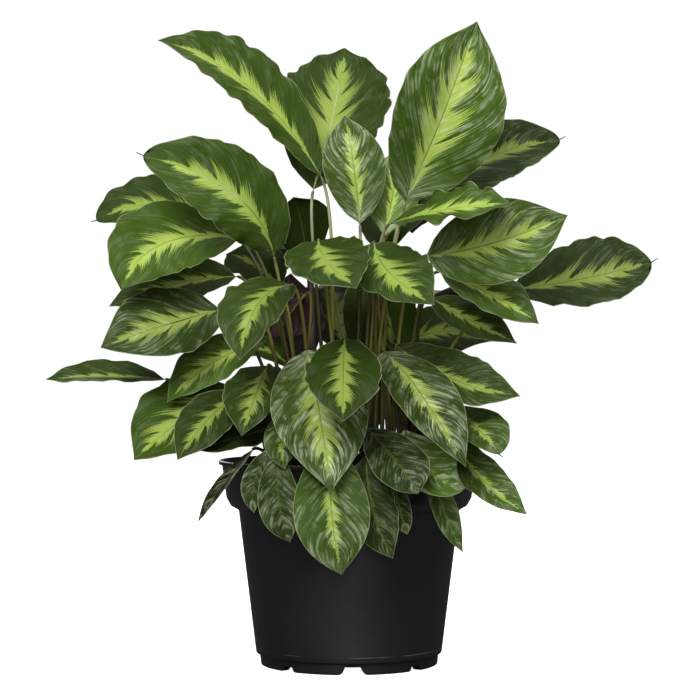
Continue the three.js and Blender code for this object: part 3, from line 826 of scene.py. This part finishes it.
def add_blade(bm, shape, settings, layers):
    """A blade's upper face, its lower face under it, and the margin between them."""
    blade, span = layers

    def place(vertex, side, vein):
        point, share, half = shape.surface(side, vein, settings)
        vertex.co = point * MM
        vertex[blade] = (side, vein, share)
        vertex[span] = (side * half, vein * shape.length, share * shape.length)

    bent_grid(bm, COLUMNS, max(LEAST_ROWS, round(shape.length / ROW_LENGTH)), place)
    upper = set(bm.faces)
    whole = [*bm.verts, *bm.edges, *bm.faces]
    made = bmesh.ops.extrude_face_region(bm, geom=whole, use_keep_orig=True)["geom"]
    lower = {face for face in made if isinstance(face, bmesh.types.BMFace)}
    for vertex in {vertex for face in lower for vertex in face.verts}:
        vertex.co -= shape.axes(vertex[blade].z)[1] * settings.blade_thickness
    for face in lower:
        face.material_index = LOWER
    for face in set(bm.faces) - upper - lower:
        face.material_index = UPPER
        for edge in face.edges:
            edge.smooth = False
    bmesh.ops.remove_doubles(bm, verts=bm.verts, dist=MERGE)


def stalk_radius(shape, settings, rise):
    """Radius in millimetres at this share of a stalk: wider in its sheath near the soil."""
    if shape.habit == SHEATHED:
        return settings.sheath_radius / MM * (1 - SHEATH_TAPER * rise)
    slim = settings.stalk_radius / MM
    return slim * (STALK_END + STALK_SWELL * (1 - rise) ** STALK_POWER)


def add_tube(bm, columns, rows, line, layers, young):
    """A closed tube along line, which gives a centre, two axes and a radius for each share."""
    blade, span = layers

    def place(vertex, side, share):
        centre, across, out, radius = line(share)
        turn = math.pi * side
        vertex.co = (centre + (across * math.cos(turn) + out * math.sin(turn)) * radius) * MM
        vertex[blade] = (side, share, young)
        vertex[span] = (0, 0, 0)

    made = bent_grid(bm, columns, rows, place)
    for face in {face for vertex in made for face in vertex.link_faces}:
        face.material_index = STALK
    bmesh.ops.remove_doubles(bm, verts=made, dist=MERGE)


def closed(share, radius):
    """The radius of a tube, which is nothing at its two ends."""
    return 0.0 if share in (0.0, 1.0) else radius


def add_stalk(bm, shape, settings, layers):
    def line(share):
        along = heading(shape.stalk, share)
        across = shape.facing.cross(heading(shape.midrib, 0))
        across = (across - along * across.dot(along)).normalized()
        radius = closed(share, stalk_radius(shape, settings, share))
        return bezier(shape.stalk, share), across, along.cross(across), radius

    young = 1.0 if shape.habit == SHEATHED else 0.0
    add_tube(bm, STALK_SIDES, STALK_ROWS, line, layers, young)


def add_rib(bm, shape, settings, layers):
    """The thick midrib under the blade, which carries on from the stalk's end."""
    thick = stalk_radius(shape, settings, 1.0)

    def line(share):
        along = RIB_SHARE * share
        across, out = shape.axes(along)
        radius = closed(share, thick + (RIB_END - thick) * share**RIB_POWER)
        depth = (radius + RIB_SINK) * min(1.0, share * SINK_RATE)
        centre = bezier(shape.midrib, along) + out * (shape.bow(along) - depth)
        if share < LEAD_SHARE:
            centre += heading(shape.midrib, 0) * (share - 1) * RIB_LEAD
        return centre, across, out, radius

    add_tube(bm, STALK_SIDES, RIB_ROWS, line, layers, 0.0)


def add_thread(bm, shape, layers):
    """The dry brown thread at a blunt tip."""
    tip = bezier(shape.midrib, 1.0) - shape.axes(0.0)[1] * THREAD_SINK
    onward = heading(shape.midrib, 1)

    def line(share):
        bend = shape.facing * (THREAD * THREAD_BEND * share * share)
        centre = tip + onward * (THREAD * (share - THREAD_INSIDE)) + bend
        return centre, *shape.axes(1.0), closed(share, THREAD_RADIUS - THREAD_THINS * share)

    add_tube(bm, THREAD_SIDES, THREAD_ROWS, line, layers, 1.0)


def make_leaf(group, number, row, settings, seed):
    shape = LeafShape(row, seed)
    bm = bmesh.new()
    layers = [bm.verts.layers.float_vector.new(name) for name in ("blade", "span")]
    add_blade(bm, shape, settings, layers)
    if shape.habit == BLUNT:
        add_thread(bm, shape, layers)
    add_stalk(bm, shape, settings, layers)
    add_rib(bm, shape, settings, layers)
    bmesh.ops.recalc_face_normals(bm, faces=bm.faces)
    looks = bm.verts.layers.float_vector.new("look")
    seeds = bm.verts.layers.float.new("seed")
    for vertex in bm.verts:
        vertex[looks] = row[8:]
        vertex[seeds] = seed * SEED_STEP
    piece = finished(bm, f"calathea_{group}_{number}", leaf_materials(settings))
    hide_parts(f"leaf_{group}_{number}")


def finished(bm, name, materials):
    """Makes the object of a finished bmesh, smooth, riding on the frame's one body."""
    mesh = bpy.data.meshes.new(name)
    for face in bm.faces:
        face.smooth = True
    bm.to_mesh(mesh)
    bm.free()
    for material in materials:
        mesh.materials.append(material)
    piece = bpy.data.objects.new(name, mesh)
    bpy.context.scene.collection.objects.link(piece)
    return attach(piece, "root")


# ---------------------------------------------------------------- the pot

POT_STEPS = 288
# The pot's outline from the middle of its underside round to the middle of its floor: radius and
# height, then the radius of the corner there. All in millimetres.
POT_OUTLINE = (
    (57.0, 6.0, 1.0),
    (57.0, 0.0, 0.6),
    (64.6, 0.0, 1.4),
    (65.2, 8.0, 1.2),
    (67.6, 8.6, 0.7),
    (68.3, 14.0, 1.2),
    (80.4, 112.0, 3.0),
    (86.2, 115.2, 2.5),
    (89.4, 121.0, 2.5),
    (92.4, 144.6, 0.8),
    (94.6, 145.2, 0.5),
    (95.0, 148.0, 0.9),
    (90.8, 148.0, 0.8),
    (87.6, 122.8, 2.5),
    (78.6, 113.8, 3.0),
    (66.5, 14.0, 2.0),
    (63.2, 7.8, 2.0),
)
CORNER_STEPS = 4
CORNER_REACH = 2.5  # a corner takes up no more than this many radii of its two sides
NOTCHED_RING = (56.5, 65.4)  # least and greatest radius of the foot ring that the notches lift,
NOTCHED_TOP = 5.9  # and their height
WIDE_NOTCH = (11.0, 6.0, 5.7)  # half its width at the floor, half its width at the top, height
NARROW_NOTCH = (6.5, 4.5, 3.5)
NOTCHES = 8
FIRST_NOTCH = -87.5  # degrees from +X round to +Y
DRAIN_HOLES, HOLE_SEGMENTS = 8, 24
DRAIN_CIRCLE = 46.0  # radius of the circle that the drain holes stand on
DRAIN_RADIUS = 4.5
FLOOR_UNDERSIDE = 6.0
PLASTIC = 1.8
LEVEL = 1e-5  # metres within which a point is at a stated height
FOOT_HIGHLIGHT_HEIGHT = 12.6  # height of the painted highlight line where the wall turns in to the foot ring
HIGHLIGHT_HALF = (0.1, 0.5)  # the line is whole this far from its middle, and gone at the second
BAND_FOOT = (114.0, 117.0)  # the smoother band starts between these heights
SCRATCH_SCALE = (60.0, 60.0, 900.0)  # scratches run round the pot
RING_WAVES = 5200.0  # moulding rings, in radians for each metre of height


def rounded(outline, steps):
    """The outline with an arc in place of each corner, but for its two ends."""
    points = [Vector(outline[0][:2])]
    for before, (x, z, radius), after in zip(outline, outline[1:], outline[2:]):
        corner = Vector((x, z))
        back = (Vector(before[:2]) - corner).normalized()
        ahead = (Vector(after[:2]) - corner).normalized()
        half = back.angle(ahead) / 2
        reach = min(radius / math.tan(half), CORNER_REACH * radius)
        arc = [corner + back * reach, corner, corner + ahead * reach]
        points += [bezier(arc, step / steps) for step in range(steps + 1)]
    points.append(Vector(outline[-1][:2]))
    return points


def notch_rise(vertex):
    """How far a notch lifts this point of the foot ring, in metres."""
    angle = math.degrees(math.atan2(vertex.co.y, vertex.co.x)) - FIRST_NOTCH
    step = 360 / NOTCHES
    number = round(angle / step)
    away = abs(math.radians(angle - number * step)) * math.hypot(vertex.co.x, vertex.co.y) / MM
    foot, top, height = NARROW_NOTCH if number % 2 else WIDE_NOTCH
    if away >= foot:
        return 0.0
    if away <= top:
        return height * MM
    round_ = (foot - away) / (foot - top)
    return height * MM * (1 - math.sqrt(1 - round_ * round_))


def floor_face(bm, height):
    """Closes the pot's floor at this height round its drain holes: the edges of each hole."""
    rim = [
        edge
        for edge in bm.edges
        if edge.is_boundary and all(abs(end.co.z - height) < LEVEL for end in edge.verts)
    ]
    holes = []
    for number in range(DRAIN_HOLES):
        turn = Matrix.Rotation(math.tau * (number + 0.5) / DRAIN_HOLES, 4, "Z")
        spot = turn @ Matrix.Translation((DRAIN_CIRCLE * MM, 0, height))
        made = bmesh.ops.create_circle(
            bm, segments=HOLE_SEGMENTS, radius=DRAIN_RADIUS * MM, matrix=spot
        )["verts"]
        holes.append(list({edge for vertex in made for edge in vertex.link_edges}))
    edges = rim + [edge for hole in holes for edge in hole]
    bmesh.ops.triangle_fill(bm, use_beauty=True, edges=edges)
    return holes


def make_pot(settings):
    bm = bmesh.new()
    outline = rounded(POT_OUTLINE, CORNER_STEPS)
    points = [bm.verts.new((x * MM, 0, z * MM)) for x, z in outline]
    edges = [bm.edges.new(pair) for pair in zip(points, points[1:])]
    turn = {"axis": (0, 0, 1), "cent": (0, 0, 0), "steps": POT_STEPS, "angle": math.tau}
    bmesh.ops.spin(bm, geom=points + edges, use_merge=True, **turn)
    bmesh.ops.remove_doubles(bm, verts=bm.verts, dist=MERGE)
    floors = (FLOOR_UNDERSIDE, FLOOR_UNDERSIDE + PLASTIC)
    holes = [floor_face(bm, height * MM) for height in floors]
    for low, high in zip(*holes):
        bmesh.ops.bridge_loops(bm, edges=low + high)
    inner, outer = NOTCHED_RING
    for vertex in bm.verts:
        radius = math.hypot(vertex.co.x, vertex.co.y) / MM
        if inner < radius < outer and vertex.co.z < NOTCHED_TOP * MM:
            vertex.co.z += notch_rise(vertex) * (1 - vertex.co.z / (FLOOR_UNDERSIDE * MM))
    bmesh.ops.recalc_face_normals(bm, faces=bm.faces)
    piece = finished(bm, "nursery_pot", [pot_plastic(settings)])
    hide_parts("pot")


def pot_plastic(settings):
    """Satin black plastic with scratches, dust, moulding rings and a painted highlight line near its foot."""
    material, shader, feed = new_material("Pot plastic", Specular_IOR_Level=0.9)
    place = shader.place()
    axes = shader.split(place)
    height = axes[2]
    mould = shader.noise(place, 1500.0, 2.0)
    cloud = shader.noise(place, 22.0, 3.0)
    scratch = [axis * scale for axis, scale in zip(axes, SCRATCH_SCALE)]
    scratch = shader.noise(shader.join(*scratch), 1.0, 3.0, 0.6)
    dust = shader.noise(place, 900.0, 2.0)
    rubbed = shader.ramp(scratch, 0.6, 0.75) * shader.ramp(cloud, 0.45, 0.7)
    specks = shader.ramp(dust, 0.68, 0.78) * 0.25
    worn_and_highlight = shader.larger(rubbed * 0.16, specks)
    # A painted highlight: a thin light line along the corner where the wall turns in to the foot ring.
    away = abs(height - FOOT_HIGHLIGHT_HEIGHT * MM)
    line = shader.ramp(away, *(half * MM for half in HIGHLIGHT_HALF), 0.9, 0.0)
    line *= shader.ramp(shader.noise(place, 30.0), 0.46, 0.6)
    worn_and_highlight = shader.larger(worn_and_highlight, line)
    feed("Base Color", shader.mix(worn_and_highlight, settings.plastic, settings.scuff_and_highlight))
    band = shader.ramp(height, *(foot * MM for foot in BAND_FOOT))
    feed("Roughness", cloud * 0.14 + 0.40 - band * 0.08)
    rings = shader.math("SINE", height * RING_WAVES)
    grain = mould * 0.05 + rings * 0.004
    feed("Normal", shader.bump(grain + cloud * 0.5, MM))
    return material


# ---------------------------------------------------------------- the soil

SOIL_TOP = 133.0
SOIL_RADIUS = 88.6
SOIL_BOTTOM = 118.0
SOIL_SEGMENTS, SOIL_RINGS = 160, 60
SOIL_TAPER = 0.97  # the soil's underside and the ring of crumbs, as shares of the radius
RIM_DROP = 0.001  # how far the soil falls off at the pot's wall, in metres
LUMP_NOISE = (1.0, 2.0, 4)  # roughness, step and number of octaves
LUMP_SCALE = 60  # for each metre
SOIL_SEED = 11
CRUMB_SIZES = (0.7, 1.0, 1.4, 2.2)
CRUMB_LIFT = 0.3  # share of its size that a crumb's middle stands above the soil
CRUMB_LENGTH, CRUMB_HEIGHT = (0.7, 2.4), (0.4, 0.9)  # shares of its size, from least to greatest


def on_disc(radius, turn):
    return Vector((radius * math.cos(turn), radius * math.sin(turn), 0.0))


def soil_height(spot, lump):
    return SOIL_TOP * MM + noise.fractal(spot * LUMP_SCALE, *LUMP_NOISE) * lump


def add_crumbs(bm, count, lump):
    dice = random.Random(SOIL_SEED)
    for _ in range(count):
        radius = SOIL_RADIUS * MM * SOIL_TAPER * math.sqrt(dice.random())
        spot = on_disc(radius, dice.uniform(0, math.tau))
        size = dice.choice(CRUMB_SIZES) * MM
        spot.z = soil_height(spot, lump) + size * CRUMB_LIFT
        turn = dice.uniform(0, math.tau)
        turned = Matrix.Rotation(turn, 4, Vector((dice.random(), dice.random(), 1)))
        long, high = size * dice.uniform(*CRUMB_LENGTH), size * dice.uniform(*CRUMB_HEIGHT)
        matrix = Matrix.Translation(spot) @ turned @ Matrix.Diagonal((long, size, high, 1.0))
        bmesh.ops.create_icosphere(bm, subdivisions=1, radius=1.0, matrix=matrix)


def make_soil(settings):
    bm = bmesh.new()

    def place(vertex, side, ring):
        spot = on_disc(SOIL_RADIUS * MM * math.sqrt(ring), math.pi * side)
        spot.z = soil_height(spot, settings.lump_height) - RIM_DROP * ring**6
        vertex.co = spot

    made = bent_grid(bm, SOIL_SEGMENTS, SOIL_RINGS, place)
    bmesh.ops.remove_doubles(bm, verts=made, dist=MERGE)
    rim = [edge for edge in bm.edges if edge.is_boundary]
    walls = bmesh.ops.extrude_edge_only(bm, edges=rim)["geom"]
    for vertex in walls:
        if isinstance(vertex, bmesh.types.BMVert):
            vertex.co.z = SOIL_BOTTOM * MM
            vertex.co.xy *= SOIL_TAPER
    low_rim = [edge for edge in bm.edges if edge.is_boundary]
    bmesh.ops.contextual_create(bm, geom=low_rim)
    add_crumbs(bm, settings.crumbs, settings.lump_height)
    bmesh.ops.recalc_face_normals(bm, faces=bm.faces)
    piece = finished(bm, "peat_soil", [soil_surface(settings)])
    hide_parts("soil")


def soil_surface(settings):
    material, shader, feed = new_material("Potting soil", Specular_IOR_Level=0.2)
    place = shader.place()
    lumps = shader.noise(place, 260.0, 5.0, 0.65)
    cells = shader.value("TexVoronoi", {"Vector": place, "Scale": 320.0}, "Color", feature="F1")
    bits = shader.ramp(shader.split(cells)[0], 0.7, 0.9) * 0.7
    colour = shader.mix(shader.ramp(lumps, 0.3, 0.7), settings.peat, settings.fibre)
    feed("Base Color", shader.mix(bits, settings.peat, colour))
    feed("Roughness", shader.ramp(lumps, 0.0, 1.0, 0.8, 1.0))
    feed("Normal", shader.bump(lumps, 2.0 * MM))
    return material


# ---------------------------------------------------------------- the studio

FLOOR_RADIUS, FLOOR_SEGMENTS = 12.0, 96
WHITE = (1.0, 1.0, 1.0)
DARK_CLOUD = (0.08, 0.08, 0.08)  # soft clouds in the shade that the floor gives
WORLD_LIGHT = 0.045  # what the white surroundings add to the lamps
# Each lamp: its name, its place, its width and height, and its power as a multiple of the key's.
LAMPS = (
    ("key", (-0.7, -1.9, 1.9), (1.2, 1.2), 2.2),
    ("front", (0.0, -2.4, 0.5), (0.35, 1.0), 0.45),
    ("right", (1.5, -1.0, 1.9), (1.0, 1.0), 0.9),
    ("overhead", (0.0, 0.1, 2.2), (1.4, 1.4), 0.7),
    ("behind", (-0.5, 2.4, 0.9), (1.4, 1.0), 0.85),
)
LAMP_AIM = (0, 0, 0.25)
CAMERA_ASIDE = -0.7  # millimetres to the left of the pot's axis
SENSOR_WIDTH = 36.0


def make_floor(scene, settings):
    """A wide floor that looks plain to the camera, and shades what stands on it less brightly."""
    bm = bmesh.new()
    bmesh.ops.create_circle(bm, cap_ends=True, segments=FLOOR_SEGMENTS, radius=FLOOR_RADIUS)
    mesh = bpy.data.meshes.new("studio_floor")
    bm.to_mesh(mesh)
    bm.free()
    floor = bpy.data.objects.new("studio_floor", mesh)
    scene.collection.objects.link(floor)
    material, shader, feed = new_material("Studio floor", Roughness=0.9, Specular_IOR_Level=0.1)
    seen = shader.camera_ray()
    shade = shader.mix(shader.noise(shader.place(), 3.0), settings.floor_shade, DARK_CLOUD)
    feed("Base Color", shader.mix(seen, shade, settings.floor_colour))
    feed("Emission Color", WHITE)
    feed("Emission Strength", seen)
    mesh.materials.append(material)


def make_world(scene):
    world = bpy.data.worlds.new("Studio")
    world.use_nodes = True
    scene.world = world
    shader = Shader(world.node_tree)
    sky = world.node_tree.nodes["Background"].inputs
    shader.feed(sky["Color"], WHITE)
    shader.feed(sky["Strength"], shader.camera_ray() + WORLD_LIGHT)


def make_stage(settings):
    scene = bpy.context.scene
    scene.view_settings.view_transform = "Standard"
    make_floor(scene, settings)
    make_world(scene)
    for name, spot, size, share in LAMPS:
        lamp = bpy.data.lights.new("studio_" + name, "AREA")
        lamp.shape = "RECTANGLE"
        lamp.size, lamp.size_y = size
        lamp.energy = settings.key_power * share
        light = bpy.data.objects.new("studio_" + name, lamp)
        light.location = spot
        aim = Vector(LAMP_AIM) - Vector(spot)
        light.rotation_euler = aim.to_track_quat("-Z", "Y").to_euler()
        scene.collection.objects.link(light)

    lens = bpy.data.cameras.new("camera")
    lens.lens = settings.lens
    lens.sensor_width = SENSOR_WIDTH
    camera = bpy.data.objects.new("camera", lens)
    camera.location = (CAMERA_ASIDE * MM, -settings.camera_distance, settings.camera_height)
    camera.rotation_euler = (math.radians(90), 0, 0)
    scene.collection.objects.link(camera)
    scene.camera = camera


# ---------------------------------------------------------------- operators


class LeafGroup:
    """Builds every leaf of one group."""

    bl_options = {"REGISTER", "UNDO"}
    group = ""

    def execute(self, context):
        groups = list(LEAVES)
        before = sum(len(LEAVES[group]) for group in groups[: groups.index(self.group)])
        settings = context.scene.calathea_leaves
        for number, row in enumerate(LEAVES[self.group], 1):
            make_leaf(self.group, number, row, settings, before + number)
        return {"FINISHED"}


class CALATHEA_OT_top_leaves(LeafGroup, bpy.types.Operator):
    """Builds the upright leaves at the top of the plant"""

    bl_idname = "calathea.top_leaves"
    bl_label = "Top leaves"
    group = "top"


class CALATHEA_OT_left_leaves(LeafGroup, bpy.types.Operator):
    """Builds the leaves that spread to the left"""

    bl_idname = "calathea.left_leaves"
    bl_label = "Left leaves"
    group = "left"


class CALATHEA_OT_right_leaves(LeafGroup, bpy.types.Operator):
    """Builds the leaves that spread to the right"""

    bl_idname = "calathea.right_leaves"
    bl_label = "Right leaves"
    group = "right"


class CALATHEA_OT_front_leaves(LeafGroup, bpy.types.Operator):
    """Builds the leaves that hang forward"""

    bl_idname = "calathea.front_leaves"
    bl_label = "Front leaves"
    group = "front"


class CALATHEA_OT_rim_leaves(LeafGroup, bpy.types.Operator):
    """Builds the small leaves that hang over the pot's rim"""

    bl_idname = "calathea.rim_leaves"
    bl_label = "Rim leaves"
    group = "rim"


class CALATHEA_OT_back_leaves(LeafGroup, bpy.types.Operator):
    """Builds the leaves at the back of the plant"""

    bl_idname = "calathea.back_leaves"
    bl_label = "Back leaves"
    group = "back"


class CALATHEA_OT_pot(bpy.types.Operator):
    """Builds the black nursery pot"""

    bl_idname = "calathea.pot"
    bl_label = "Nursery pot"

    def execute(self, context):
        make_pot(context.scene.calathea_pot)
        return {"FINISHED"}


class CALATHEA_OT_soil(bpy.types.Operator):
    """Builds the potting soil and its loose crumbs"""

    bl_idname = "calathea.soil"
    bl_label = "Potting soil"

    def execute(self, context):
        make_soil(context.scene.calathea_soil)
        return {"FINISHED"}


class CALATHEA_OT_stage(bpy.types.Operator):
    """Sets the floor, the lights and the camera"""

    bl_idname = "calathea.stage"
    bl_label = "Studio"

    def execute(self, context):
        make_stage(context.scene.calathea_stage)
        return {"FINISHED"}


OPERATORS = (
    CALATHEA_OT_stage,
    CALATHEA_OT_pot,
    CALATHEA_OT_soil,
    CALATHEA_OT_top_leaves,
    CALATHEA_OT_left_leaves,
    CALATHEA_OT_right_leaves,
    CALATHEA_OT_front_leaves,
    CALATHEA_OT_rim_leaves,
    CALATHEA_OT_back_leaves,
)


class CALATHEA_PT_panel(bpy.types.Panel):
    """Lists the parts of the plant"""

    bl_idname = "CALATHEA_PT_panel"
    bl_label = "Potted calathea"
    bl_space_type = "VIEW_3D"
    bl_region_type = "UI"
    bl_category = "Calathea"

    def draw(self, context):
        for operator in OPERATORS:
            self.layout.operator(operator.bl_idname)
        for name in SETTINGS:
            box = self.layout.box()
            group = getattr(context.scene, name)
            for setting in group.bl_rna.properties:
                if not setting.is_readonly and setting.identifier != "name":
                    box.prop(group, setting.identifier)


SETTINGS = {
    "calathea_leaves": CalatheaLeafSettings,
    "calathea_pot": CalatheaPotSettings,
    "calathea_soil": CalatheaSoilSettings,
    "calathea_stage": CalatheaStageSettings,
}
CLASSES = (*SETTINGS.values(), *OPERATORS, CALATHEA_PT_panel)


def register():
    for made in CLASSES:
        bpy.utils.register_class(made)
    for name, settings in SETTINGS.items():
        setattr(bpy.types.Scene, name, bpy.props.PointerProperty(type=settings))


def unregister():
    for name in SETTINGS:
        delattr(bpy.types.Scene, name)
    for made in reversed(CLASSES):
        bpy.utils.unregister_class(made)


def main():
    register()
    for operator in OPERATORS:
        group, name = operator.bl_idname.split(".")
        getattr(getattr(bpy.ops, group), name)()


if __name__ == "__main__":
    main()
